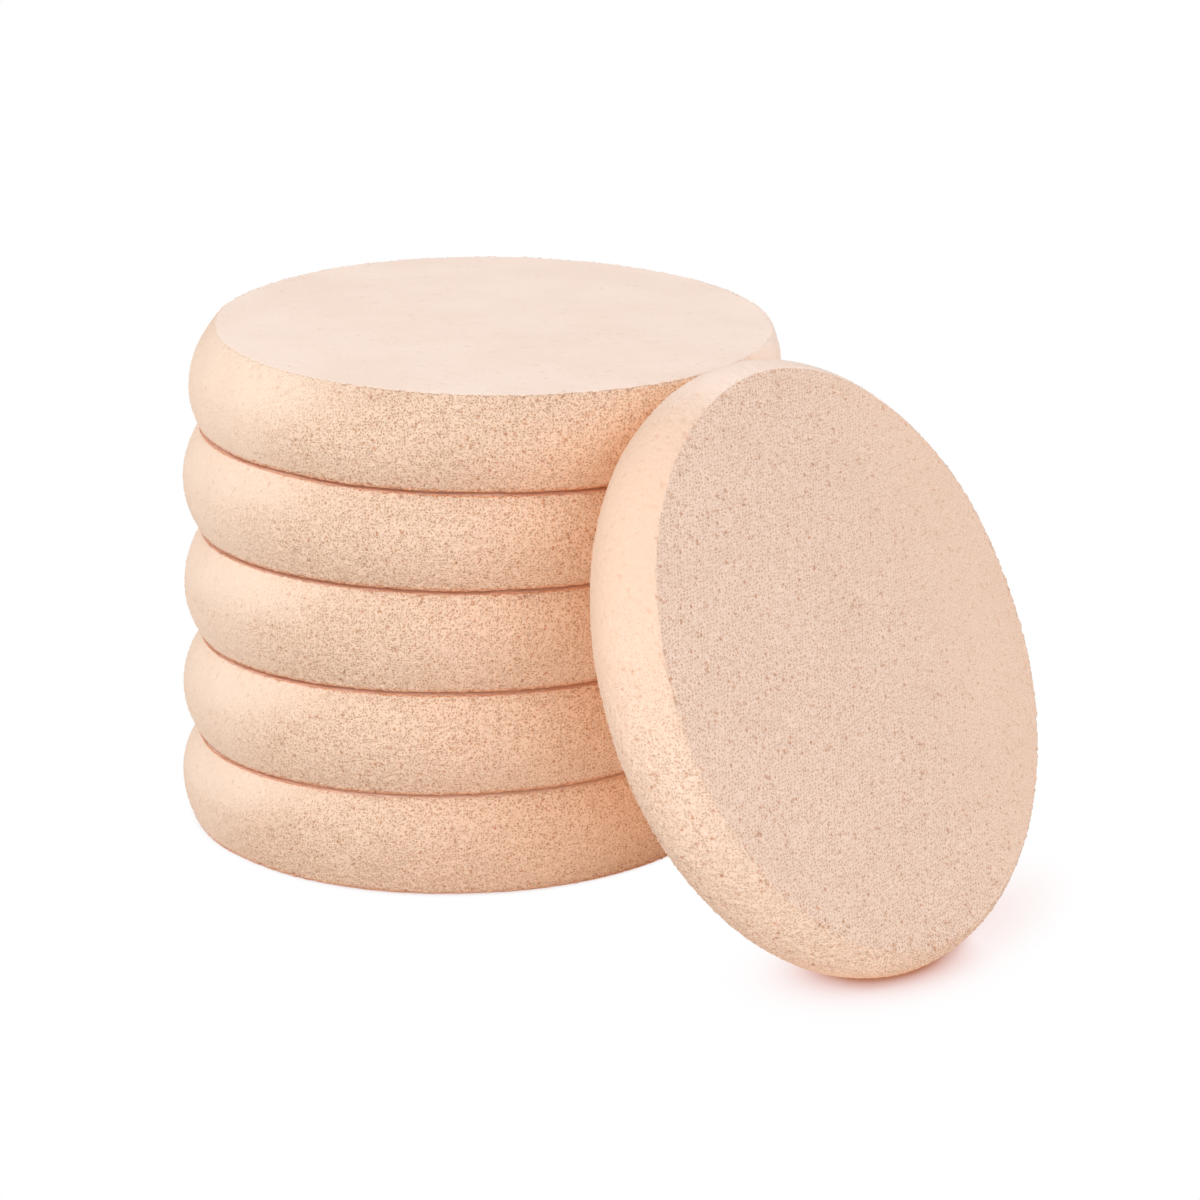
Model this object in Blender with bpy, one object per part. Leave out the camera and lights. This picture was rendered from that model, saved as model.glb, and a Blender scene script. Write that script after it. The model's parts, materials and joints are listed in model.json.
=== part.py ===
"""Set of round foam make-up sponges: five in a settled stack and one leaning on it.

Metres, +Z up. The origin is the centre of the bottom sponge's lower face, on the surface
that the set stands on. +X runs to the right, +Y to the back. Every sponge is one closed
foam body with two flat cut faces and a rounded side.
"""

import math

import bmesh
import bpy
from mathutils import Matrix, Vector
from mathutils.bvhtree import BVHTree

# A stacked sponge, before it settles, and how far the lowest rim spreads on the table.
SPONGE_DIAMETER = 0.060
SPONGE_THICKNESS = 0.0105
SIDE_BULGE = 0.0018
BOTTOM_RIM_SPREAD = 0.0007

# The sponge that leans on the stack is cut a little thinner.
LEANING_DIAMETER = 0.0591
LEANING_THICKNESS = 0.0080
LEANING_SIDE_BULGE = 0.0018

# Clearance between foam that touches, and how far the leaning rim is pressed flat.
CONTACT_GAP = 0.0003
RIM_FLAT_DEPTH = 0.0005

# The stack from the bottom up, as the photograph shows it settled. The offsets of each
# upper face are shares of SPONGE_DIAMETER, the tilts of its normal are in degrees.
STACK_NAMES = ("bottom_sponge", "second_sponge", "middle_sponge", "fourth_sponge", "top_sponge")
OFFSET_RIGHT_SHARES = (0.009, 0.024, 0.033, 0.039, 0.073)
OFFSET_BACK_SHARES = (-0.044, -0.067, -0.086, -0.104, -0.117)
TILT_RIGHT_DEG = (-1.2, -0.9, 0.4, 1.3, 0.9)
TILT_BACK_DEG = (0.8, 1.0, 0.4, -1.5, -3.6)

# The leaning sponge: its tilt from upright, the way its front faces on the floor, and
# how far its centre sits beside the top sponge's centre, as a share of SPONGE_DIAMETER.
LEANING_NAME = "leaning_sponge"
LEAN_FROM_UPRIGHT_DEG = 24.5
LEAN_HEADING_DEG = -37.7
LEAN_ASIDE_SHARE = -0.077

# How finely the round forms are divided, the angle from which an edge is shaded as
# sharp, and how many steps bring the leaning sponge up to the stack.
SEGMENTS = 72
SIDE_BANDS = 8
SHARP_EDGE_DEG = 30.0
SETTLE_STEPS = 30

# Linear colours of the foam.
STACK_COLOUR = (0.86, 0.58, 0.41, 1.0)
LEANING_COLOUR = (0.78, 0.54, 0.40, 1.0)
FOAM_ROUGHNESS = 0.95


def clear_scene():
    """Remove what the file holds, so that the set is all there is."""
    for old in list(bpy.data.objects):
        bpy.data.objects.remove(old, do_unlink=True)


def foam_material(name, colour):
    """Matt foam as one plain Principled surface."""
    material = bpy.data.materials.new(name)
    material.use_nodes = True
    shader = material.node_tree.nodes["Principled BSDF"]
    shader.inputs["Base Color"].default_value = colour
    shader.inputs["Roughness"].default_value = FOAM_ROUGHNESS
    shader.inputs["Metallic"].default_value = 0.0
    return material


def face_frame(centre, normal):
    """Frame at a face's centre with its +Z along the face's normal."""
    turn = Vector((0.0, 0.0, 1.0)).rotation_difference(normal)
    return Matrix.Translation(centre) @ turn.to_matrix().to_4x4()


def side_stations(diameter, thickness, bulge, rim_spread=0.0):
    """Height shares and radii along the arc that rounds a sponge's side.

    The lower rim can spread outwards by rim_spread, which fades out at half the height."""
    half = thickness / 2
    arc_radius = (half * half + bulge * bulge) / (2 * bulge)
    half_angle = math.atan2(half, arc_radius - bulge)
    stations = []
    for band in range(SIDE_BANDS + 1):
        angle = half_angle * (2 * band / SIDE_BANDS - 1)
        radius = diameter / 2 - arc_radius * (1 - math.cos(angle))
        height_share = (1 + arc_radius * math.sin(angle) / half) / 2
        radius += rim_spread * max(0.0, 1 - 2 * height_share) ** 2
        stations.append((height_share, radius))
    return stations


def foam_body(upper, stations):
    """Closed body from the flat face at the local origin to the one at the upper frame."""
    body = bmesh.new()
    lower = Matrix.Identity(4)
    previous = []
    for index, (height_share, radius) in enumerate(stations):
        ring = bmesh.ops.create_circle(
            body,
            cap_ends=index in (0, len(stations) - 1),
            segments=SEGMENTS,
            radius=radius,
            matrix=lower.lerp(upper, height_share),
        )
        edges = list({edge for vert in ring["verts"] for edge in vert.link_edges})
        if previous:
            bmesh.ops.bridge_loops(body, edges=previous + edges)
        previous = edges
    bmesh.ops.recalc_face_normals(body, faces=body.faces)
    return body


def cut_flat(body, point, up):
    """Trim away what lies below a plane and close the cut with one flat face."""
    geometry = body.verts[:] + body.edges[:] + body.faces[:]
    cut = bmesh.ops.bisect_plane(body, geom=geometry, plane_co=point, plane_no=up, clear_inner=True)
    rim = [item for item in cut["geom_cut"] if isinstance(item, bmesh.types.BMEdge)]
    bmesh.ops.contextual_create(body, geom=rim)
    bmesh.ops.recalc_face_normals(body, faces=body.faces)


def add_sponge(name, body, frame, colour, parent, parent_frame):
    """Put a body in the scene as a named object at its frame, carried by its parent."""
    mesh = bpy.data.meshes.new(name)
    body.to_mesh(mesh)
    body.free()
    mesh.materials.append(foam_material(name + "_foam", colour))
    mesh.shade_smooth()
    mesh.set_sharp_from_angle(angle=math.radians(SHARP_EDGE_DEG))
    sponge = bpy.data.objects.new(name, mesh)
    bpy.context.scene.collection.objects.link(sponge)
    sponge.parent = parent
    local = parent_frame.inverted() @ frame
    sponge.location = local.to_translation()
    sponge.rotation_euler = local.to_euler()
    return sponge


def settled_faces():
    """Lower and upper face frames of the stacked sponges, from the bottom up."""
    faces = []
    lower = Matrix.Identity(4)
    settling = zip(OFFSET_RIGHT_SHARES, OFFSET_BACK_SHARES, TILT_RIGHT_DEG, TILT_BACK_DEG)
    for index, (right, back, tilt_right, tilt_back) in enumerate(settling):
        height = (index + 1) * SPONGE_THICKNESS + index * CONTACT_GAP
        centre = Vector((right * SPONGE_DIAMETER, back * SPONGE_DIAMETER, height))
        slope = (math.tan(math.radians(tilt_right)), math.tan(math.radians(tilt_back)), 1.0)
        normal = Vector(slope).normalized()
        upper = face_frame(centre, normal)
        faces.append((lower, upper))
        lower = face_frame(centre + CONTACT_GAP * normal, normal)
    return faces


def build_stack():
    """Model the stacked sponges, each carried by the one below it.

    Returns the bottom sponge, the world points of every stacked body and the top
    sponge's centre, which the leaning sponge is set against."""
    spread = BOTTOM_RIM_SPREAD
    faces = settled_faces()
    bottom_sponge = None
    points = []
    parent = None
    parent_frame = Matrix.Identity(4)
    for name, (lower, upper) in zip(STACK_NAMES, faces):
        stations = side_stations(SPONGE_DIAMETER, SPONGE_THICKNESS, SIDE_BULGE, spread)
        body = foam_body(lower.inverted() @ upper, stations)
        points.extend(lower @ vert.co for vert in body.verts)
        parent = add_sponge(name, body, lower, STACK_COLOUR, parent, parent_frame)
        parent_frame = lower
        bottom_sponge = bottom_sponge or parent
        spread = 0.0
    top_lower, top_upper = faces[-1]
    top_centre = (top_lower.to_translation() + top_upper.to_translation()) / 2
    return bottom_sponge, points, top_centre


def slide_against(body, frame, heading, stack_points):
    """Slide a standing body in along its heading until it is CONTACT_GAP off the stack."""
    surface = BVHTree.FromBMesh(body)
    for _ in range(SETTLE_STEPS):
        inward = frame.inverted()
        gap = min(surface.find_nearest(inward @ point)[3] for point in stack_points)
        frame = Matrix.Translation((CONTACT_GAP - gap) * heading) @ frame
    return frame


def build_leaning_sponge(bottom_sponge, stack_points, top_centre):
    """Model the sponge that stands on its rim and leans back on the stack."""
    lean = math.radians(LEAN_FROM_UPRIGHT_DEG)
    turn = math.radians(LEAN_HEADING_DEG)
    heading = Vector((math.cos(turn), math.sin(turn), 0.0))
    aside = Vector((-math.sin(turn), math.cos(turn), 0.0))
    normal = math.cos(lean) * heading + Vector((0.0, 0.0, math.sin(lean)))

    front_face = Matrix.Translation((0.0, 0.0, LEANING_THICKNESS))
    stations = side_stations(LEANING_DIAMETER, LEANING_THICKNESS, LEANING_SIDE_BULGE)
    body = foam_body(front_face, stations)

    start = top_centre + LEAN_ASIDE_SHARE * SPONGE_DIAMETER * aside
    start += (SPONGE_DIAMETER + LEANING_DIAMETER) * heading
    frame = face_frame(start, normal)
    lowest = min((frame @ vert.co).z for vert in body.verts)
    frame = Matrix.Translation((0.0, 0.0, -RIM_FLAT_DEPTH - lowest)) @ frame
    frame = slide_against(body, frame, heading, stack_points)

    inward = frame.inverted()
    floor_up = inward.to_3x3() @ Vector((0.0, 0.0, 1.0))
    cut_flat(body, inward @ Vector((0.0, 0.0, 0.0)), floor_up)
    add_sponge(LEANING_NAME, body, frame, LEANING_COLOUR, bottom_sponge, Matrix.Identity(4))


def main():
    clear_scene()
    bottom_sponge, stack_points, top_centre = build_stack()
    build_leaning_sponge(bottom_sponge, stack_points, top_centre)


main()
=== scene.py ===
"""Round foam makeup sponges: a settled stack of five and one that leans on it.

The frame holds a plain solid for each sponge. This script models each sponge's foam body
over its solid, with soft rims, an uneven side, open cells and pores, and adds a white
table, soft studio light and the camera. Metres, +Z up, +Y to the back.
"""

import json
import math
import random

import bmesh
import bpy
import numpy as np
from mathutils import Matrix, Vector
from mathutils.kdtree import KDTree


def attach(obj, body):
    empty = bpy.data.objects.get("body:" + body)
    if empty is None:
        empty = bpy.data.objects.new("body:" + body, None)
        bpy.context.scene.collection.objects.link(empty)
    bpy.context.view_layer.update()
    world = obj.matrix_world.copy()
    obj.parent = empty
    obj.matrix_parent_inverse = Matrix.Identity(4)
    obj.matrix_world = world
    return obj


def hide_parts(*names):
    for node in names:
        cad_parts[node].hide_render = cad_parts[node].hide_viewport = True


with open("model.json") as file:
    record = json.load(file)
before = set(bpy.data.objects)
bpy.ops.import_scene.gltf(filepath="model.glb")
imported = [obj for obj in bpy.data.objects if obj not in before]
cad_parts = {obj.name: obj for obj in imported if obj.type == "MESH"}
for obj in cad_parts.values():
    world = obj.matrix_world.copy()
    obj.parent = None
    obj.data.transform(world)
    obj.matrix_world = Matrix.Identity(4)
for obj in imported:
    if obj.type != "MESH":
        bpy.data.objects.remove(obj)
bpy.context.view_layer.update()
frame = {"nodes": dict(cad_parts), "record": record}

bl_info = {
    "name": "Makeup sponge set",
    "version": (1, 0, 0),
    "blender": (4, 5, 0),
    "location": "3D View > Sidebar > Sponges",
    "description": "Models round foam makeup sponges, stacked and leaning, with open cells",
    "category": "Add Mesh",
}

MM = 0.001

STACK_NODES = ("bottom_sponge", "second_sponge", "middle_sponge", "fourth_sponge", "top_sponge")
LEANING_NODE = "leaning_sponge"
NODE_BODY = {
    node: body
    for body, members in frame["record"]["behaviour"]["bodies"].items()
    for node in members
}

UP = Vector((0.0, 0.0, 1.0))

# Where a rounded side faces the first way, towards the key light, and towards the edge of a
# cut face that lies the second way, towards the back light, a pale smooth skin hides the
# cells: a painted highlight. The painted highlight is palest towards the right end of the
# stack and the upper end of the leaning sponge.
HIGHLIGHT_SIDE = np.array((-0.85, -0.25, 0.46))
HIGHLIGHT_EDGE = np.array((0.60, 0.78, 0.0))
HIGHLIGHT_ENDS = (np.array((0.99, -0.05, 0.1)), np.array((-0.15, 0.42, 0.89)))

# Triangles whose normals agree this well lie on one flat face.
SAME_PLANE = 0.9999

# How squarely a vertex faces along a cut face's normal, from where it starts to count as
# part of that face to where it is wholly on it, and how squarely a quad has to face.
ON_FACE_BAND = (0.93, 0.99)
QUAD_ON_FACE = 0.97

# From where the painted highlight on a lit side, the skin under a side or a pale end's
# painted highlight starts to where it is full, by how well a direction agrees with the lit
# side's direction, straight down or one of the pale ends. On a cut face the painted highlight
# grows with the distance towards the lit edge, as a share of the radius, and stays thinner.
HIGHLIGHT_SIDE_BAND = (0.62, 1.0)
SKIN_UNDER_BAND = (0.7, 0.95)
HIGHLIGHT_EDGE_BAND = (0.0, 0.8)
HIGHLIGHT_ON_FACE = 0.65
HIGHLIGHT_END_BAND = (0.72, 0.93)

# How much of the grain's height is lost on a cut face and under the skin.
GRAIN_LOST_ON_FACE = 0.8
GRAIN_LOST_UNDER_SKIN = 0.4

# Shares of the seam width: how far the painted seam shade reaches up the side from a low rim
# and down it from a high one, and where it fades out inwards on the cut face.
SEAM_UP_FROM_LOW = 0.5
SEAM_DOWN_FROM_HIGH = 0.12
SEAM_FADE_START = 0.4
SEAM_FADE_END = 1.2

# Smallest and largest of the pores, as shares of the set radius and depth.
PORE_RADIUS_RANGE = (0.7, 1.15)
PORE_DEPTH_RANGE = (0.45, 1.0)

# What lies this little above a sponge's lowest point stands on the table.
RESTING_HEIGHT = 0.1 * MM


class SpongeSizes(bpy.types.PropertyGroup):
    """Sizes of the foam's form and of its surface."""

    divisions: bpy.props.IntProperty(
        name="Divisions",
        description="Squares along each side of a cut face's grid before it is subdivided",
        default=24,
        min=4,
    )
    side_rings: bpy.props.IntProperty(
        name="Side rings",
        description="Rings up the rounded side between the two soft rims",
        default=5,
        min=3,
    )
    rim_softness: bpy.props.FloatProperty(
        name="Rim softness",
        description="Width of the band that rounds the cut rim off",
        default=0.22 * MM,
        unit="LENGTH",
    )
    waviness: bpy.props.FloatProperty(
        name="Waviness",
        description="How far the foam swells and sinks over a few millimetres",
        default=0.3 * MM,
        unit="LENGTH",
    )
    wave_length: bpy.props.FloatProperty(
        name="Wave length",
        description="Size of those swellings",
        default=9.0 * MM,
        unit="LENGTH",
    )
    grain_height: bpy.props.FloatProperty(
        name="Grain height",
        description="Relief of the open cells on the rounded side",
        default=0.42 * MM,
        unit="LENGTH",
    )
    grain_size: bpy.props.FloatProperty(
        name="Grain size",
        description="Width of the clumps of cells on the rounded side",
        default=0.28 * MM,
        unit="LENGTH",
    )
    pore_depth: bpy.props.FloatProperty(
        name="Pore depth",
        description="Depth of the larger pores",
        default=0.22 * MM,
        unit="LENGTH",
    )
    pore_radius: bpy.props.FloatProperty(
        name="Pore radius",
        description="Radius of the larger pores",
        default=0.22 * MM,
        unit="LENGTH",
    )
    side_pores: bpy.props.IntProperty(
        name="Side pores",
        description="Number of larger pores on a rounded side",
        default=520,
        min=0,
    )
    face_pores: bpy.props.IntProperty(
        name="Face pores",
        description="Number of larger pores on a cut face",
        default=300,
        min=0,
    )
    cell_size: bpy.props.FloatProperty(
        name="Cell size",
        description="Width of the open cells of the stacked sponges",
        default=0.28 * MM,
        unit="LENGTH",
    )
    leaning_cell_size: bpy.props.FloatProperty(
        name="Leaning cell size",
        description="Width of the open cells of the leaning sponge",
        default=0.29 * MM,
        unit="LENGTH",
    )
    cell_bend: bpy.props.FloatProperty(
        name="Cell bend",
        description="How far the cells of the rounded sides are drawn out and bent",
        default=1.4,
    )
    leaning_cell_bend: bpy.props.FloatProperty(
        name="Leaning cell bend",
        description="How far the cells of the leaning sponge's faces are drawn out and bent",
        default=0.6,
    )
    # The seam band is painted shade in the gaps between sponges.
    seam_width: bpy.props.FloatProperty(
        name="Seam width",
        description="Width of the band of torn cells along a rim that touches another sponge",
        default=1.1 * MM,
        unit="LENGTH",
    )


class SpongeColours(bpy.types.PropertyGroup):
    """Colours of the foam."""

    stack_strands: bpy.props.FloatVectorProperty(
        name="Stack strands",
        description="Colour of the strands of the stacked sponges",
        default=(0.80, 0.597, 0.46),
        subtype="COLOR",
    )
    # Partly the foam's own deeper tone, partly painted shade in the open cells.
    stack_pits: bpy.props.FloatVectorProperty(
        name="Stack pits",
        description="Colour between the strands of the stacked sponges",
        default=(0.52, 0.297, 0.175),
        subtype="COLOR",
    )
    # Partly the foam's smooth skin, partly a painted highlight on the lit side.
    stack_skin_and_highlight: bpy.props.FloatVectorProperty(
        name="Stack skin",
        description="Colour of the smooth skin on the sides of the stacked sponges",
        default=(0.88, 0.70, 0.569),
        subtype="COLOR",
    )
    stack_face: bpy.props.FloatVectorProperty(
        name="Stack face",
        description="Colour of the smooth cut faces of the stacked sponges",
        default=(0.98, 0.815, 0.72),
        subtype="COLOR",
    )
    leaning_strands: bpy.props.FloatVectorProperty(
        name="Leaning strands",
        description="Colour of the strands of the leaning sponge",
        default=(0.887, 0.669, 0.544),
        subtype="COLOR",
    )
    # Partly the foam's own deeper tone, partly painted shade in the open cells.
    leaning_pits: bpy.props.FloatVectorProperty(
        name="Leaning pits",
        description="Colour between the strands of the leaning sponge",
        default=(0.648, 0.398, 0.276),
        subtype="COLOR",
    )
    wall_strands: bpy.props.FloatVectorProperty(
        name="Wall strands",
        description="Colour of the strands on the leaning sponge's rounded side",
        default=(0.86, 0.65, 0.515),
        subtype="COLOR",
    )
    # Partly the foam's own deeper tone, partly painted shade in the open cells.
    wall_pits: bpy.props.FloatVectorProperty(
        name="Wall pits",
        description="Colour between the strands on the leaning sponge's rounded side",
        default=(0.656, 0.411, 0.276),
        subtype="COLOR",
    )
    # Partly the leaning sponge's smooth skin, partly a painted highlight on its lit side.
    leaning_skin_and_highlight: bpy.props.FloatVectorProperty(
        name="Leaning skin",
        description="Colour of the smooth skin of the leaning sponge",
        default=(0.84, 0.60, 0.458),
        subtype="COLOR",
    )
    # A painted glow: the foam emits this light itself, unseen by the camera.
    painted_glow: bpy.props.FloatVectorProperty(
        name="Inner glow",
        description="Colour of the light that passes through the foam",
        default=(0.9, 0.46, 0.17),
        subtype="COLOR",
    )
    # Partly the foam's own tone, partly painted shade inside the pores.
    pores: bpy.props.FloatVectorProperty(
        name="Pores",
        description="Colour inside the pores",
        default=(0.55, 0.25, 0.13),
        subtype="COLOR",
    )
    # Painted shade, for the dark gaps between the stacked sponges.
    seams: bpy.props.FloatVectorProperty(
        name="Seams",
        description="Colour of the torn cells along the seams",
        default=(0.62, 0.20, 0.06),
        subtype="COLOR",
    )
    # A painted highlight, where light from behind and above falls on the set's ends.
    highlight_ends: bpy.props.FloatVectorProperty(
        name="Pale ends",
        description="Colour of the thick skin at the set's palest ends",
        default=(0.97, 0.81, 0.715),
        subtype="COLOR",
    )


class StageLook(bpy.types.PropertyGroup):
    """The lamps and the even light from all round."""

    key_power: bpy.props.FloatProperty(
        name="Key light",
        description="Power of the large soft light from the left, in watts",
        default=2.2,
    )
    fill_power: bpy.props.FloatProperty(
        name="Fill light",
        description="Power of the soft light from the front, in watts",
        default=3.0,
    )
    back_power: bpy.props.FloatProperty(
        name="Back light",
        description="Power of the soft light from behind on the right, in watts",
        default=1.0,
    )
    sky_strength: bpy.props.FloatProperty(
        name="Sky",
        description="Strength of the even light from all round",
        default=0.55,
    )


def deselect_all():
    for thing in bpy.context.selected_objects:
        thing.select_set(False)


def make_active(piece):
    """Select one object alone and make it active."""
    deselect_all()
    piece.select_set(True)
    bpy.context.view_layer.objects.active = piece


# Reading a sponge's form off its solid.


class Form:
    """What a solid says of its sponge: two face centres, their inward axes and three radii."""

    def __init__(self, node):
        mesh = frame["nodes"][node].data
        faces = len(mesh.polygons)
        normals = np.empty(faces * 3)
        mesh.polygons.foreach_get("normal", normals)
        normals = normals.reshape(faces, 3)
        areas = np.empty(faces)
        mesh.polygons.foreach_get("area", areas)
        corners = np.empty(len(mesh.loops), dtype=np.int32)
        mesh.loops.foreach_get("vertex_index", corners)
        corners = corners.reshape(faces, 3)
        points = np.empty(len(mesh.vertices) * 3)
        mesh.vertices.foreach_get("co", points)
        points = points.reshape(-1, 3)

        first = normals[areas.argmax()]
        opposite = np.where(normals @ first < 0.0, areas, 0.0)
        second = normals[opposite.argmax()]
        flats = []
        for normal in (first, second):
            rim = points[np.unique(corners[normals @ normal > SAME_PLANE])]
            centre, radius = fitted_circle(rim, normal)
            flats.append((centre, normal, radius))
        flats.sort(key=lambda flat: flat[0][2])
        (low, low_normal, self.low_radius), (high, high_normal, self.high_radius) = flats
        self.low, self.low_axis = Vector(low), Vector(-low_normal)
        self.high, self.high_axis = Vector(high), Vector(high_normal)
        self.thickness = (self.high - self.low).length

        above_low = (points - low) @ -low_normal
        below_high = (high - points) @ high_normal
        share = above_low / (above_low + below_high)
        on_axis = low + share[:, None] * (high - low)
        self.full_radius = np.linalg.norm(points - on_axis, axis=1).max()

    def station(self, share):
        """Centre and axis of the cross section at a share of the height."""
        axis = self.low_axis.lerp(self.high_axis, share).normalized()
        return self.low.lerp(self.high, share), axis

    def radius(self, share):
        """Radius of the arc that rounds the side, at a share of the height."""
        rim = self.low_radius if share < 0.5 else self.high_radius
        bulge = self.full_radius - rim
        half = self.thickness / 2
        arc = (half * half + bulge * bulge) / (2 * bulge)
        off_middle = (2 * share - 1) * half
        return self.full_radius - arc + math.sqrt(arc * arc - off_middle * off_middle)


def fitted_circle(rim, normal):
    """Centre and radius of the circle through points that lie on one plane."""
    middle = rim.mean(axis=0)
    spread = rim - middle
    squares = (spread * spread).sum(axis=1)
    terms = np.column_stack((2 * spread, np.ones(len(rim))))
    answer = np.linalg.lstsq(terms, squares, rcond=None)[0]
    offset = answer[:3] - normal * (answer[:3] @ normal)
    centre = middle + offset
    return centre, np.linalg.norm(rim - centre, axis=1).max()


# Modelling the foam body.


def ring_plan(form, sizes):
    """Height shares and radii of the rings, with three at each soft rim."""
    soft = sizes.rim_softness
    rim_share = soft / form.thickness
    plan = [(0.0, form.low_radius - soft), (0.0, form.low_radius)]
    steps = sizes.side_rings + 1
    for step in range(steps + 1):
        share = rim_share + (1 - 2 * rim_share) * step / steps
        plan.append((share, form.radius(share)))
    plan += [(1.0, form.high_radius), (1.0, form.high_radius - soft)]
    return plan


def select_where(mesh, test):
    """In edit mode, select only the faces whose normal passes a test."""
    bpy.ops.mesh.select_all(action="DESELECT")
    edited = bmesh.from_edit_mesh(mesh)
    for face in edited.faces:
        face.select_set(test(face.normal))
    edited.select_flush_mode()
    bmesh.update_edit_mesh(mesh)


def round_off(mesh, half):
    """Turn a square grid of a given half width into a disc of that radius."""
    for vertex in mesh.vertices:
        across, along = vertex.co.x / half, vertex.co.y / half
        vertex.co.x *= math.sqrt(1 - along * along / 2)
        vertex.co.y *= math.sqrt(1 - across * across / 2)


def foam_blank(name, form, sizes):
    """Raise a sponge from a disc on its low face, ring by ring, up to its high face."""
    deselect_all()
    (share, radius), *rest = ring_plan(form, sizes)
    centre, axis = form.station(share)
    bpy.ops.mesh.primitive_grid_add(
        x_subdivisions=sizes.divisions,
        y_subdivisions=sizes.divisions,
        size=2 * radius,
        location=centre,
        rotation=UP.rotation_difference(axis).to_euler(),
    )
    piece = bpy.context.object
    piece.name = name
    piece.data.name = name
    round_off(piece.data, radius)
    bpy.ops.object.mode_set(mode="EDIT")
    bpy.ops.mesh.select_mode(type="FACE")
    bpy.ops.mesh.select_all(action="SELECT")
    for share, next_radius in rest:
        next_centre, next_axis = form.station(share)
        bpy.ops.mesh.extrude_region_move(
            TRANSFORM_OT_translate={"value": next_centre - centre}
        )
        growth = next_radius / radius
        bpy.ops.transform.resize(value=(growth,) * 3, center_override=next_centre)
        turn = axis.rotation_difference(next_axis).to_euler()
        for letter, angle in (("X", turn.x), ("Y", turn.y)):
            # With no window the operator turns the other way, so the angle is negated.
            bpy.ops.transform.rotate(
                value=-angle, orient_axis=letter, center_override=next_centre
            )
        centre, axis, radius = next_centre, next_axis, next_radius
    bpy.ops.mesh.select_all(action="SELECT")
    bpy.ops.mesh.normals_make_consistent(inside=False)
    bpy.ops.object.mode_set(mode="OBJECT")
    bpy.ops.object.transform_apply(location=True, rotation=True, scale=True)
    if max(face.normal.dot(axis) for face in piece.data.polygons) < SAME_PLANE:
        raise RuntimeError(name + ": the high face isn't square to its axis")
    return piece


def apply_modifier(piece, kind, **settings):
    """Add one modifier with its settings and apply it."""
    modifier = piece.modifiers.new(kind.lower(), kind)
    for key, value in settings.items():
        setattr(modifier, key, value)
    bpy.ops.object.modifier_apply(modifier=modifier.name)


def cloud_texture(name, size, depth):
    texture = bpy.data.textures.get(name) or bpy.data.textures.new(name, "CLOUDS")
    texture.noise_scale = size
    texture.noise_depth = depth
    texture.noise_basis = "ORIGINAL_PERLIN"
    return texture


def modifier_weights(piece, name, weights):
    """Store one weight for each vertex in a vertex group that a modifier can use."""
    group = piece.vertex_groups.new(name=name)
    levels = np.round(weights, 2)
    for level in np.unique(levels):
        if level > 0.0:
            group.add(np.flatnonzero(levels == level).tolist(), float(level), "REPLACE")


def shading_share(piece, name, weights):
    """Store one share for each vertex as an attribute that the material reads."""
    attribute = piece.data.attributes.new(name + "_share", "FLOAT", "POINT")
    attribute.data.foreach_set("value", weights.astype(np.float32))


def vertex_table(mesh):
    """Positions and normals of a mesh's vertices."""
    points = np.empty(len(mesh.vertices) * 3)
    mesh.vertices.foreach_get("co", points)
    normals = np.empty(len(mesh.vertices) * 3)
    mesh.vertex_normals.foreach_get("vector", normals)
    return points.reshape(-1, 3), normals.reshape(-1, 3)


def smooth_step(values, low, high):
    share = np.clip((values - low) / (high - low), 0.0, 1.0)
    return share * share * (3 - 2 * share)


def seam_weights(points, form, seams, width):
    """How far painted shade darkens each point near a rim that lies in a seam, from 0 to 1.

    seams says which of the low and the high rim touch a neighbour or the table. The light
    from above keeps the lip under a seam pale, so less shows down the side of a high rim."""
    axis = np.array((form.high - form.low).normalized())
    weights = np.zeros(len(points))
    rims = (
        ("low", form.low, form.low_axis, form.low_radius, SEAM_UP_FROM_LOW * width),
        ("high", form.high, form.high_axis, form.high_radius, SEAM_DOWN_FROM_HIGH * width),
    )
    for side, centre, plane, radius, reach in rims:
        if side in seams:
            offset = points - np.array(centre)
            height = np.abs(offset @ np.array(plane))
            outward = np.linalg.norm(offset - (offset @ axis)[:, None] * axis, axis=1)
            inward = np.maximum(radius - outward, 0.0)
            along_side = smooth_step(-height, -reach, 0.0)
            on_face = smooth_step(-inward, -SEAM_FADE_END * width, -SEAM_FADE_START * width)
            weights = np.maximum(weights, along_side * on_face)
    return weights


def off_axis(points, form):
    """Each point's place across its sponge's axis, and the directions of those places."""
    axis = np.array((form.high - form.low).normalized())
    outward = points - np.array(form.low)
    outward -= (outward @ axis)[:, None] * axis
    distance = np.maximum(np.linalg.norm(outward, axis=1), form.thickness / 2)
    return outward, outward / distance[:, None]


def highlight_end_weights(points, form, on_face):
    """How far a rounded side takes the painted highlight of one of the pale ends, from 0 to 1.
    """
    directions = off_axis(points, form)[1]
    weights = [smooth_step(directions @ end, *HIGHLIGHT_END_BAND) for end in HIGHLIGHT_ENDS]
    return np.maximum(*weights) * (1.0 - on_face)


def skin_and_highlight_weights(points, normals, form, on_face):
    """How far the smooth skin and its painted highlights hide the cells, from 0 to 1: a painted
    highlight where a side faces the key light and towards one edge of a cut face, the skin
    where a side faces down.
    """
    outward, directions = off_axis(points, form)
    facing = np.maximum(normals @ HIGHLIGHT_SIDE, directions @ HIGHLIGHT_SIDE)
    side = smooth_step(facing, *HIGHLIGHT_SIDE_BAND)
    side = np.maximum(side, smooth_step(-normals[:, 2], *SKIN_UNDER_BAND))
    towards_edge = outward @ HIGHLIGHT_EDGE / form.full_radius
    face = HIGHLIGHT_ON_FACE * smooth_step(towards_edge, *HIGHLIGHT_EDGE_BAND)
    return side + (face - side) * on_face


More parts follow.
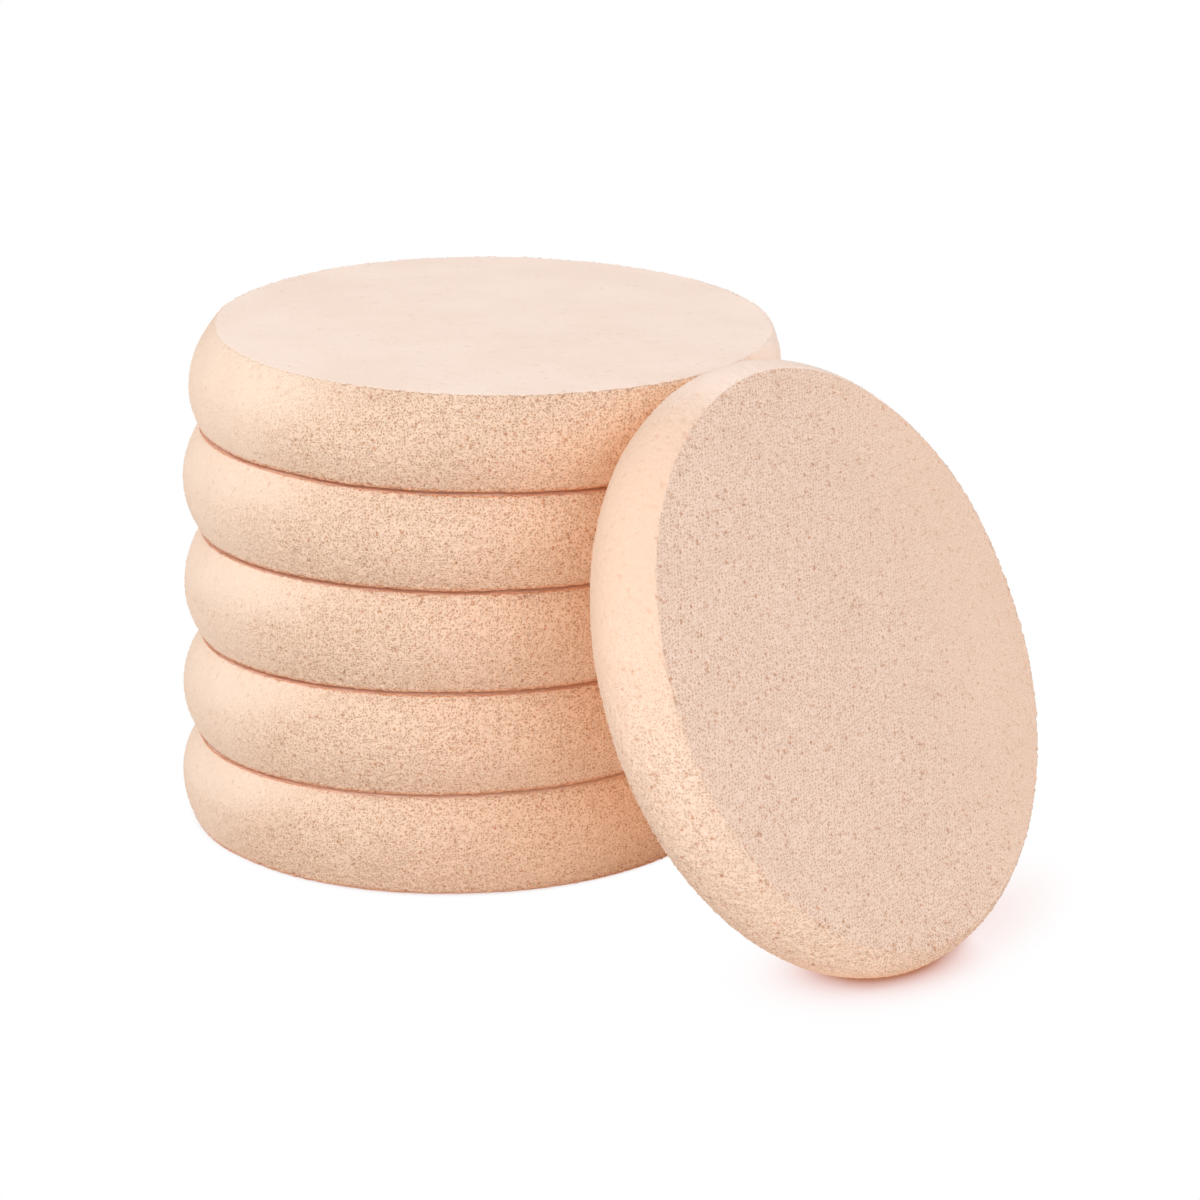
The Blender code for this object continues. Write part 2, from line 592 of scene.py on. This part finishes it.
def pore_weights(points, on_face, sizes, seed):
    """Weights that are 1 at the middle of each pore and fade to 0 at its edge."""
    draw = random.Random(seed)
    tree = KDTree(len(points))
    for index, point in enumerate(points):
        tree.insert(point, index)
    tree.balance()
    weights = np.zeros(len(points))
    both_faces = 2 * sizes.face_pores
    zones = (
        (np.flatnonzero(on_face < 0.5).tolist(), sizes.side_pores),
        (np.flatnonzero(on_face >= 0.5).tolist(), both_faces),
    )
    for zone, count in zones:
        for middle in draw.sample(zone, min(count, len(zone))):
            radius = sizes.pore_radius * draw.uniform(*PORE_RADIUS_RANGE)
            depth = draw.uniform(*PORE_DEPTH_RANGE)
            for _, index, distance in tree.find_range(points[middle], radius):
                fade = depth * (1 - (distance / radius) ** 2)
                weights[index] = max(weights[index], fade)
    return weights


def foam_body(name, node, fine_faces, seams, sizes, seed):
    """Model one sponge over its solid.

    fine_faces says which cut faces get small quads, seams which rims touch something."""
    form = Form(node)
    piece = foam_blank(name, form, sizes)
    make_active(piece)
    # The waves move neighbouring surfaces alike, so that they keep their clearance.
    waves = cloud_texture("foam_waves", sizes.wave_length, 1)
    waves.cloud_type = "COLOR"
    apply_modifier(
        piece,
        "DISPLACE",
        texture=waves,
        texture_coords="LOCAL",
        direction="RGB_TO_XYZ",
        strength=sizes.waviness,
    )
    apply_modifier(piece, "SUBSURF", levels=2, render_levels=2)

    low_axis, high_axis = form.low_axis, form.high_axis

    def wants_detail(normal):
        if normal.dot(high_axis) > QUAD_ON_FACE:
            return "high" in fine_faces
        if normal.dot(-low_axis) > QUAD_ON_FACE:
            return "low" in fine_faces
        return True

    bpy.ops.object.mode_set(mode="EDIT")
    bpy.ops.mesh.select_mode(type="FACE")
    select_where(piece.data, wants_detail)
    bpy.ops.mesh.subdivide(number_cuts=1)
    bpy.ops.object.mode_set(mode="OBJECT")

    points, normals = vertex_table(piece.data)
    facing = np.maximum(normals @ np.array(high_axis), normals @ -np.array(low_axis))
    on_face = smooth_step(facing, *ON_FACE_BAND)
    # pale holds the painted highlight at the set's palest ends.
    pale = highlight_end_weights(points, form, on_face)
    # skin holds the smooth skin and the painted highlights of a lit side and a face's lit edge.
    skin = np.maximum(skin_and_highlight_weights(points, normals, form, on_face), pale)
    # seam holds the painted shade along the seams.
    seam = seam_weights(points, form, seams, sizes.seam_width)
    # The pores are real dents; their darker colour in the material is partly painted shade.
    pores = pore_weights(points, on_face, sizes, seed)
    shading_share(piece, "face", on_face)
    shading_share(piece, "skin", skin)
    shading_share(piece, "pale", pale)
    shading_share(piece, "seam", seam)
    shading_share(piece, "pore", pores)
    rough = (1.0 - GRAIN_LOST_ON_FACE * on_face) * (1.0 - GRAIN_LOST_UNDER_SKIN * skin)
    modifier_weights(piece, "rough", rough)
    modifier_weights(piece, "pore", pores)
    grain = cloud_texture("foam_grain", sizes.grain_size, 1)
    apply_modifier(
        piece,
        "DISPLACE",
        texture=grain,
        texture_coords="LOCAL",
        strength=sizes.grain_height,
        vertex_group="rough",
    )
    apply_modifier(
        piece, "DISPLACE", strength=-sizes.pore_depth, mid_level=0.0, vertex_group="pore"
    )
    piece.vertex_groups.clear()
    bpy.ops.object.shade_smooth()
    return piece


def resting_tip(node):
    """Middle of what a solid stands on."""
    points = vertex_table(frame["nodes"][node].data)[0]
    lowest = points[:, 2].min()
    return Vector(points[points[:, 2] < lowest + RESTING_HEIGHT].mean(axis=0))


def rest_on_table(piece):
    """Press flat what would sink through the table."""
    make_active(piece)
    bpy.ops.object.mode_set(mode="EDIT")
    bpy.ops.mesh.select_mode(type="VERT")
    bpy.ops.mesh.select_all(action="DESELECT")
    edited = bmesh.from_edit_mesh(piece.data)
    for vertex in edited.verts:
        vertex.select_set(vertex.co.z < 0.0)
    edited.select_flush_mode()
    bmesh.update_edit_mesh(piece.data)
    if piece.data.total_vert_sel:
        bpy.ops.transform.resize(value=(1.0, 1.0, 0.0), center_override=(0.0, 0.0, 0.0))
    bpy.ops.object.mode_set(mode="OBJECT")


def hand_over(piece, node, material):
    """Give a sponge its material, hang it on its solid's body and hide the solid."""
    piece.data.materials.clear()
    piece.data.materials.append(material)
    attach(piece, NODE_BODY[node])
    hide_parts(node)


# Foam materials.

# How far from the edge of a cell a strand gives way to the pit in it, and how far from its
# middle a larger pit closes, each in widths of its own pattern. The larger pits vary in
# depth, as shares of the deepest.
STRAND_BAND = (0.04, 0.4)
PIT_BAND = (0.1, 0.27)
PIT_DEPTHS = (0.2, 1.0)

# The slow changes of tone: the noise levels between which the tone changes, and their size.
BLOTCH_BAND = (0.3, 0.7)
BLOTCHES_PER_METRE = 120.0

# How far each layer covers what lies under it. A pore shows less in closed foam than in
# open foam. The painted seam shade shows more in the pits than on the strands, and less on a
# face.
SKIN_AND_HIGHLIGHT_COVER = 0.85
HIGHLIGHT_END_COVER = 0.8
BLOTCH_COVER = 0.08
PIT_COVER = 0.8
PORE_COVER_CLOSED = 0.15
PORE_COVER_OPEN = 0.7
SEAM_SHADE_BAND = (0.1, 0.9)
SEAM_SHADE_COVER_PITS = 0.95
SEAM_SHADE_COVER_STRANDS = 0.55
SEAM_SHADE_COVER_FACE = 0.75

# Roughness of a strand, where a pit has 1, and the specular level and relief of the cells.
STRAND_ROUGHNESS = 0.85
FOAM_SPECULAR = 0.15
CELL_RELIEF = 0.05 * MM


def add_node(tree, kind, **settings):
    """Add a shader node. Settings that name an input socket set its value."""
    node = tree.nodes.new(kind)
    for key, value in settings.items():
        if hasattr(node, key):
            setattr(node, key, value)
        else:
            node.inputs[key.replace("_", " ").title()].default_value = value
    return node


def maths(tree, operation, *values):
    """A Math node fed with sockets or numbers, giving its output socket."""
    node = tree.nodes.new("ShaderNodeMath")
    node.operation = operation
    for socket, value in zip(node.inputs, values):
        if isinstance(value, bpy.types.NodeSocket):
            tree.links.new(value, socket)
        else:
            socket.default_value = value
    return node.outputs[0]


def vector_maths(tree, operation, *vectors, scale=None):
    """A Vector Math node fed with sockets or values, giving its output socket."""
    node = tree.nodes.new("ShaderNodeVectorMath")
    node.operation = operation
    inputs = list(zip(node.inputs, vectors))
    if scale is not None:
        inputs.append((node.inputs["Scale"], scale))
    for socket, value in inputs:
        if isinstance(value, bpy.types.NodeSocket):
            tree.links.new(value, socket)
        else:
            socket.default_value = value
    return node.outputs["Value" if operation == "LENGTH" else "Vector"]


def ease(tree, value, low, high, start=0.0, end=1.0):
    """A smooth Map Range from low..high to start..end."""
    node = tree.nodes.new("ShaderNodeMapRange")
    node.interpolation_type = "SMOOTHSTEP"
    tree.links.new(value, node.inputs["Value"])
    node.inputs["From Min"].default_value = low
    node.inputs["From Max"].default_value = high
    node.inputs["To Min"].default_value = start
    node.inputs["To Max"].default_value = end
    return node.outputs[0]


def blend_colours(tree, share, first, second):
    """Mix two colours, each a socket or a plain value."""
    node = tree.nodes.new("ShaderNodeMix")
    node.data_type = "RGBA"
    inputs = (node.inputs[0], node.inputs[6], node.inputs[7])
    for socket, value in zip(inputs, (share, first, second)):
        if isinstance(value, bpy.types.NodeSocket):
            tree.links.new(value, socket)
        else:
            socket.default_value = value
    return node.outputs[2]


def cell_group():
    """Node group for open-celled foam: winding strands with pits between them."""
    known = bpy.data.node_groups.get("foam_cells")
    if known:
        return known
    group = bpy.data.node_groups.new("foam_cells", "ShaderNodeTree")
    interface = group.interface
    interface.new_socket("Position", in_out="INPUT", socket_type="NodeSocketVector")
    interface.new_socket("Cell Size", in_out="INPUT", socket_type="NodeSocketFloat")
    interface.new_socket("Bend", in_out="INPUT", socket_type="NodeSocketFloat")
    interface.new_socket("Strands", in_out="OUTPUT", socket_type="NodeSocketFloat")
    interface.new_socket("Pits", in_out="OUTPUT", socket_type="NodeSocketFloat")
    interface.new_socket("Height", in_out="OUTPUT", socket_type="NodeSocketFloat")
    start = group.nodes.new("NodeGroupInput")
    end = group.nodes.new("NodeGroupOutput")

    per_metre = maths(group, "DIVIDE", 1.0, start.outputs["Cell Size"])
    place = vector_maths(group, "SCALE", start.outputs["Position"], scale=per_metre)

    # Bending the cells turns round pits into short winding ones.
    winding = add_node(group, "ShaderNodeTexNoise", scale=0.85, detail=0.0)
    cells = add_node(
        group, "ShaderNodeTexVoronoi", feature="DISTANCE_TO_EDGE", scale=1.0, randomness=0.7
    )
    specks = add_node(group, "ShaderNodeTexVoronoi", scale=0.34)
    for texture in (winding, specks):
        group.links.new(place, texture.inputs["Vector"])
    bend = vector_maths(group, "SUBTRACT", winding.outputs["Color"], (0.5, 0.5, 0.5))
    bend = vector_maths(group, "SCALE", bend, scale=start.outputs["Bend"])
    group.links.new(vector_maths(group, "ADD", place, bend), cells.inputs["Vector"])
    strands = ease(group, cells.outputs["Distance"], *STRAND_BAND, start=1.0, end=0.0)

    depths = group.nodes.new("ShaderNodeSeparateColor")
    group.links.new(specks.outputs["Color"], depths.inputs[0])
    depth = ease(group, depths.outputs[0], *PIT_DEPTHS, *PIT_DEPTHS)
    opening = ease(group, specks.outputs["Distance"], *PIT_BAND, start=1.0, end=0.0)
    pits = maths(group, "MULTIPLY", opening, depth)

    height = maths(group, "SUBTRACT", strands, pits)
    group.links.new(strands, end.inputs["Strands"])
    group.links.new(pits, end.inputs["Pits"])
    group.links.new(height, end.inputs["Height"])
    return group


def blotch_group():
    """Node group for slow changes of tone over a sponge."""
    known = bpy.data.node_groups.get("foam_blotches")
    if known:
        return known
    group = bpy.data.node_groups.new("foam_blotches", "ShaderNodeTree")
    interface = group.interface
    interface.new_socket("Position", in_out="INPUT", socket_type="NodeSocketVector")
    interface.new_socket("Blotches Per Metre", in_out="INPUT", socket_type="NodeSocketFloat")
    interface.new_socket("Tone", in_out="OUTPUT", socket_type="NodeSocketFloat")
    start = group.nodes.new("NodeGroupInput")
    end = group.nodes.new("NodeGroupOutput")
    noise = add_node(group, "ShaderNodeTexNoise", detail=2.0, roughness=0.5)
    group.links.new(start.outputs["Position"], noise.inputs["Vector"])
    group.links.new(start.outputs["Blotches Per Metre"], noise.inputs["Scale"])
    tone = ease(group, noise.outputs[0], *BLOTCH_BAND)
    group.links.new(tone, end.inputs["Tone"])
    return group


def use_group(tree, group, **values):
    node = tree.nodes.new("ShaderNodeGroup")
    node.node_tree = group
    for key, value in values.items():
        socket = node.inputs[key.replace("_", " ").title()]
        if isinstance(value, bpy.types.NodeSocket):
            tree.links.new(value, socket)
        else:
            socket.default_value = value
    return node


def opaque(colour):
    return (*colour, 1.0)


def foam_material(
    name, colours, cell_size, bends, strands, pits, skin_and_highlight_colour, face_colour, face_cells, glow
):
    """Open-celled foam: pale strands, darker pits and pores holding painted shade, under a
    smooth skin that also carries painted highlights.

    bends, strands and pits each give one value for the rounded side and one for the cut
    faces. face_cells is how far the cells still show on the cut faces, and glow is the strength
    of a painted glow that the camera doesn't see and that lights the neighbours."""
    material = bpy.data.materials.new(name)
    material.use_nodes = True
    tree = material.node_tree
    shader = tree.nodes["Principled BSDF"]
    place = tree.nodes.new("ShaderNodeTexCoord").outputs["Object"]

    shares = {}
    for share in ("face", "skin", "pale", "pore", "seam"):
        attribute = add_node(tree, "ShaderNodeAttribute", attribute_name=share + "_share")
        shares[share] = attribute.outputs["Fac"]
    side_bend, face_bend = bends
    bend = maths(tree, "MULTIPLY_ADD", shares["face"], face_bend - side_bend, side_bend)
    cells = use_group(tree, cell_group(), position=place, cell_size=cell_size, bend=bend)
    blotches = use_group(
        tree, blotch_group(), position=place, blotches_per_metre=BLOTCHES_PER_METRE
    )

    on_face = maths(tree, "MULTIPLY", shares["face"], 1.0 - face_cells)
    under_skin_and_highlight = maths(tree, "MULTIPLY", shares["skin"], SKIN_AND_HIGHLIGHT_COVER)
    openness = maths(tree, "SUBTRACT", 1.0, maths(tree, "MAXIMUM", on_face, under_skin_and_highlight))

    strand_colour = blend_colours(tree, shares["face"], opaque(strands[0]), opaque(strands[1]))
    pit_colour = blend_colours(tree, shares["face"], opaque(pits[0]), opaque(pits[1]))
    colour = blend_colours(tree, cells.outputs["Strands"], pit_colour, strand_colour)
    # The skin colour paints the highlight on the lit side and a face's lit edge, and the skin
    # under a side.
    colour = blend_colours(tree, under_skin_and_highlight, colour, opaque(skin_and_highlight_colour))
    # The pale ends are a painted highlight.
    highlight_end = maths(tree, "MULTIPLY", shares["pale"], HIGHLIGHT_END_COVER)
    colour = blend_colours(tree, highlight_end, colour, opaque(colours.highlight_ends))
    colour = blend_colours(tree, on_face, colour, opaque(face_colour))
    tone = maths(tree, "MULTIPLY", blotches.outputs["Tone"], BLOTCH_COVER)
    colour = blend_colours(tree, tone, colour, pit_colour)
    # Pits and pores darken the colour: partly the foam's own deeper tone, partly painted shade
    # in the hollows.
    pit_cover = maths(tree, "MULTIPLY", openness, PIT_COVER)
    pitted = maths(tree, "MULTIPLY", cells.outputs["Pits"], pit_cover)
    pore_cover = ease(tree, openness, 0.0, 1.0, PORE_COVER_CLOSED, PORE_COVER_OPEN)
    large = maths(tree, "MULTIPLY", shares["pore"], pore_cover)
    dark = maths(tree, "MAXIMUM", pitted, large)
    colour = blend_colours(tree, dark, colour, opaque(colours.pores))
    # Painted shade darkens the cells along the seams between sponges.
    covers = (SEAM_SHADE_COVER_PITS, SEAM_SHADE_COVER_STRANDS)
    seam_shade_cover = ease(tree, cells.outputs["Strands"], *SEAM_SHADE_BAND, *covers)
    face_cover = ease(tree, shares["face"], 0.0, 1.0, 1.0, SEAM_SHADE_COVER_FACE)
    seam_shade_cover = maths(tree, "MULTIPLY", seam_shade_cover, face_cover)
    shaded = maths(tree, "MULTIPLY", shares["seam"], seam_shade_cover)
    colour = blend_colours(tree, shaded, colour, opaque(colours.seams))
    tree.links.new(colour, shader.inputs["Base Color"])

    roughness = ease(tree, cells.outputs["Strands"], 0.0, 1.0, 1.0, STRAND_ROUGHNESS)
    tree.links.new(roughness, shader.inputs["Roughness"])

    bump = tree.nodes.new("ShaderNodeBump")
    bump.inputs["Distance"].default_value = CELL_RELIEF
    tree.links.new(openness, bump.inputs["Strength"])
    tree.links.new(cells.outputs["Height"], bump.inputs["Height"])
    tree.links.new(bump.outputs["Normal"], shader.inputs["Normal"])

    shader.inputs["Specular IOR Level"].default_value = FOAM_SPECULAR

    # A painted glow: the foam emits light that the camera doesn't see, which tints what lies
    # close to it in place of light that has passed through the foam.
    path = tree.nodes.new("ShaderNodeLightPath")
    unseen = maths(tree, "SUBTRACT", 1.0, path.outputs["Is Camera Ray"])
    tree.links.new(maths(tree, "MULTIPLY", unseen, glow), shader.inputs["Emission Strength"])
    shader.inputs["Emission Color"].default_value = opaque(colours.painted_glow)
    material.cycles.emission_sampling = "NONE"
    return material


# The stage.

TABLE_RADIUS = 3.0
TABLE_DROP = 0.02 * MM
TABLE_COLOUR = (0.86, 0.86, 0.86, 1.0)
TABLE_ROUGHNESS = 0.9
BLACK = (0.0, 0.0, 0.0, 1.0)

# The table's shadow, as the photograph shows it round the leaning sponge's tip: a deep
# ellipse, and a faint one that fans out under the sponge's face, to the back on the right.
# Each has its centre off the tip, its turn and its half sizes. The deep one is sharpened
# by a power and then strengthened.
DEEP_OFFSET = Vector((-2.7, -0.4, 0.0)) * MM
DEEP_TURN_DEG = 37.5
DEEP_HALF_SIZES = (25.2 * MM, 17.2 * MM)
DEEP_POWER = 6.0
DEEP_STRENGTH = 4.0
FAINT_OFFSET = Vector((5.8, 8.4, 0.0)) * MM
FAINT_TURN_DEG = 60.0
FAINT_HALF_SIZES = (22.0 * MM, 9.0 * MM)
FAINT_STRENGTH = 0.22

# The ellipses show only where foam is within the first reach of the table, and a line of
# contact where it is within the second. Each band runs from full shadow to none, by how
# open the space is.
NEAR_REACH = 14.0 * MM
NEAR_BAND = (0.75, 0.98)
CONTACT_REACH = 2.0 * MM
CONTACT_BAND = (0.06, 0.28)
DEEPEST_SHADOW = 0.8

# How much of red and blue the deepest shadow could take away, where green goes in full.
# Red is lost more slowly than the shadow deepens, so that a faint shadow is warm.
RED_LOSS = 0.75
RED_POWER = 1.6
BLUE_LOSS = 1.1


def stage_material(tip):
    """A white table with a warm shadow where foam touches it and round a sponge's tip."""
    material = bpy.data.materials.new("white_table")
    material.use_nodes = True
    tree = material.node_tree
    shader = tree.nodes["Principled BSDF"]
    shader.inputs["Roughness"].default_value = TABLE_ROUGHNESS
    shader.inputs["Specular IOR Level"].default_value = 0.0
    seen = seen_directly(tree)
    lit = blend_colours(tree, seen, TABLE_COLOUR, BLACK)
    tree.links.new(lit, shader.inputs["Base Color"])

    place = tree.nodes.new("ShaderNodeTexCoord").outputs["Object"]
    deep = fading_ellipse(tree, place, tip + DEEP_OFFSET, DEEP_TURN_DEG, DEEP_HALF_SIZES)
    deep = maths(tree, "MULTIPLY", maths(tree, "POWER", deep, DEEP_POWER), DEEP_STRENGTH)
    faint = fading_ellipse(tree, place, tip + FAINT_OFFSET, FAINT_TURN_DEG, FAINT_HALF_SIZES)
    faint = maths(tree, "MULTIPLY", faint, FAINT_STRENGTH)
    near = ease(tree, clearness(tree, NEAR_REACH), *NEAR_BAND, start=1.0, end=0.0)
    spread = maths(tree, "MULTIPLY", maths(tree, "MAXIMUM", deep, faint), near)
    contact = ease(tree, clearness(tree, CONTACT_REACH), *CONTACT_BAND, start=1.0, end=0.0)
    depth = maths(tree, "MINIMUM", maths(tree, "MAXIMUM", spread, contact), DEEPEST_SHADOW)

    colour = tree.nodes.new("ShaderNodeCombineColor")
    slow = maths(tree, "POWER", depth, RED_POWER)
    red = maths(tree, "MULTIPLY_ADD", slow, -RED_LOSS, 1.0)
    tree.links.new(red, colour.inputs["Red"])
    tree.links.new(maths(tree, "SUBTRACT", 1.0, depth), colour.inputs["Green"])
    blue = maths(tree, "MULTIPLY_ADD", depth, -BLUE_LOSS, 1.0)
    tree.links.new(maths(tree, "MAXIMUM", blue, 0.0), colour.inputs["Blue"])
    tree.links.new(colour.outputs[0], shader.inputs["Emission Color"])
    tree.links.new(seen, shader.inputs["Emission Strength"])
    return material


def clearness(tree, reach):
    """How open the space over a surface is, from 0 to 1, within a reach."""
    node = add_node(tree, "ShaderNodeAmbientOcclusion", samples=6)
    node.inputs["Distance"].default_value = reach
    return node.outputs["AO"]


def fading_ellipse(tree, place, centre, turn_deg, half_sizes):
    """1 at the centre of an ellipse on the table, falling evenly to 0 at its edge."""
    mapping = add_node(tree, "ShaderNodeMapping", vector_type="TEXTURE")
    mapping.inputs["Location"].default_value = centre
    mapping.inputs["Rotation"].default_value = (0.0, 0.0, math.radians(turn_deg))
    mapping.inputs["Scale"].default_value = (*half_sizes, 1.0)
    tree.links.new(place, mapping.inputs["Vector"])
    away = vector_maths(tree, "LENGTH", mapping.outputs[0])
    return maths(tree, "MAXIMUM", maths(tree, "SUBTRACT", 1.0, away), 0.0)


def seen_directly(tree):
    """1 for rays from the camera, also by way of a mirror or through glass."""
    path = tree.nodes.new("ShaderNodeLightPath")
    seen = maths(tree, "MAXIMUM", path.outputs["Is Camera Ray"], path.outputs["Is Glossy Ray"])
    return maths(tree, "MAXIMUM", seen, path.outputs["Is Transmission Ray"])


def white_world(strength):
    """Even light from all round that the camera sees as white."""
    world = bpy.data.worlds.new("white_studio")
    world.use_nodes = True
    tree = world.node_tree
    background = tree.nodes["Background"]
    background.inputs["Color"].default_value = (1.0, 1.0, 1.0, 1.0)
    level = maths(tree, "MULTIPLY_ADD", seen_directly(tree), 1.0 - strength, strength)
    tree.links.new(level, background.inputs["Strength"])
    bpy.context.scene.world = world


def soft_light(name, place, power, colour):
    """A square area light that faces the middle of the view."""
    deselect_all()
    bpy.ops.object.light_add(type="AREA", location=place)
    light = bpy.context.object
    light.name = name
    light.data.shape = "SQUARE"
    light.data.size = LIGHT_WIDTH
    light.data.energy = power
    light.data.color = colour
    light.rotation_euler = (place - AIM).to_track_quat("Z", "Y").to_euler()


# The camera looks along +Y and down, from the photograph's own distance.
AIM = Vector((15.08, -0.98, 22.275)) * MM
CAMERA_DISTANCE = 300.0 * MM
LOOK_DOWN_DEG = 16.32
FOCAL_PIXELS = 2812.0
PHOTO_PIXELS = 1200.0
SENSOR_WIDTH = 36.0

LIGHT_WIDTH = 0.45
KEY_COLOUR = (1.0, 0.98, 0.96)
PLAIN_COLOUR = (1.0, 1.0, 1.0)
KEY_PLACE = Vector((-0.55, -0.25, 0.45))
FILL_PLACE = Vector((0.2, -0.75, 0.3))
BACK_PLACE = Vector((0.45, 0.55, 0.45))


def photo_camera():
    """The camera, at the photograph's viewing angle."""
    down = math.radians(LOOK_DOWN_DEG)
    back = Vector((0.0, -math.cos(down), math.sin(down)))
    deselect_all()
    bpy.ops.object.camera_add(
        location=AIM + CAMERA_DISTANCE * back, rotation=(math.pi / 2 - down, 0.0, 0.0)
    )
    camera = bpy.context.object
    camera.name = "photo_camera"
    camera.data.sensor_width = SENSOR_WIDTH
    camera.data.lens = FOCAL_PIXELS / PHOTO_PIXELS * SENSOR_WIDTH
    camera.data.clip_start = 10.0 * MM
    bpy.context.scene.camera = camera


class SPONGE_OT_stack(bpy.types.Operator):
    """Model the five stacked sponges"""

    bl_idname = "sponge.stack"
    bl_label = "Stacked sponges"

    def execute(self, context):
        sizes = context.scene.sponge_sizes
        colours = context.scene.sponge_colours
        material = foam_material(
            "stack_foam",
            colours,
            sizes.cell_size,
            (sizes.cell_bend, sizes.cell_bend),
            (colours.stack_strands, colours.stack_strands),
            (colours.stack_pits, colours.stack_pits),
            colours.stack_skin_and_highlight,
            colours.stack_face,
            face_cells=0.1,
            glow=0.05,
        )
        for seed, node in enumerate(STACK_NODES):
            fine = {"high"} if node == STACK_NODES[-1] else set()
            seams = {"low"} if node == STACK_NODES[-1] else {"low", "high"}
            piece = foam_body(node + "_foam", node, fine, seams, sizes, seed)
            rest_on_table(piece)
            hand_over(piece, node, material)
        return {"FINISHED"}


class SPONGE_OT_leaning(bpy.types.Operator):
    """Model the sponge that leans on the stack"""

    bl_idname = "sponge.leaning"
    bl_label = "Leaning sponge"

    def execute(self, context):
        sizes = context.scene.sponge_sizes
        colours = context.scene.sponge_colours
        material = foam_material(
            "leaning_foam",
            colours,
            sizes.leaning_cell_size,
            (sizes.cell_bend, sizes.leaning_cell_bend),
            (colours.wall_strands, colours.leaning_strands),
            (colours.wall_pits, colours.leaning_pits),
            colours.leaning_skin_and_highlight,
            colours.leaning_skin_and_highlight,
            face_cells=1.0,
            # The leaning sponge's strong painted glow lightens the stack beside it.
            glow=0.56,
        )
        seed = len(STACK_NODES)
        piece = foam_body(LEANING_NODE + "_foam", LEANING_NODE, {"high"}, set(), sizes, seed)
        rest_on_table(piece)
        hand_over(piece, LEANING_NODE, material)
        return {"FINISHED"}


class SPONGE_OT_stage(bpy.types.Operator):
    """Set the white table, the light and the camera"""

    bl_idname = "sponge.stage"
    bl_label = "Table, light and camera"

    def execute(self, context):
        look = context.scene.sponge_stage
        context.scene.view_settings.view_transform = "Standard"
        deselect_all()
        bpy.ops.mesh.primitive_circle_add(
            vertices=96, radius=TABLE_RADIUS, fill_type="NGON", location=(0.0, 0.0, -TABLE_DROP)
        )
        table = context.object
        table.name = "table"
        bpy.ops.object.transform_apply(location=True, rotation=True, scale=True)
        table.data.materials.append(stage_material(resting_tip(LEANING_NODE)))
        white_world(look.sky_strength)
        soft_light("key_light", KEY_PLACE, look.key_power, KEY_COLOUR)
        soft_light("fill_light", FILL_PLACE, look.fill_power, PLAIN_COLOUR)
        soft_light("back_light", BACK_PLACE, look.back_power, PLAIN_COLOUR)
        photo_camera()
        return {"FINISHED"}


class SPONGE_PT_panel(bpy.types.Panel):
    """The sponge set's tools"""

    bl_idname = "SPONGE_PT_panel"
    bl_label = "Makeup sponges"
    bl_space_type = "VIEW_3D"
    bl_region_type = "UI"
    bl_category = "Sponges"

    def draw(self, context):
        scene = context.scene
        for operator in OPERATORS:
            self.layout.operator(operator.bl_idname)
        for group in (scene.sponge_sizes, scene.sponge_colours, scene.sponge_stage):
            for name in group.__annotations__:
                self.layout.prop(group, name)


OPERATORS = (SPONGE_OT_stack, SPONGE_OT_leaning, SPONGE_OT_stage)
CLASSES = (SpongeSizes, SpongeColours, StageLook, *OPERATORS, SPONGE_PT_panel)


def register():
    for item in CLASSES:
        bpy.utils.register_class(item)
    bpy.types.Scene.sponge_sizes = bpy.props.PointerProperty(type=SpongeSizes)
    bpy.types.Scene.sponge_colours = bpy.props.PointerProperty(type=SpongeColours)
    bpy.types.Scene.sponge_stage = bpy.props.PointerProperty(type=StageLook)


def unregister():
    del bpy.types.Scene.sponge_sizes
    del bpy.types.Scene.sponge_colours
    del bpy.types.Scene.sponge_stage
    for item in reversed(CLASSES):
        bpy.utils.unregister_class(item)


def main():
    register()
    bpy.ops.sponge.stack()
    bpy.ops.sponge.leaning()
    bpy.ops.sponge.stage()


if __name__ == "__main__":
    main()
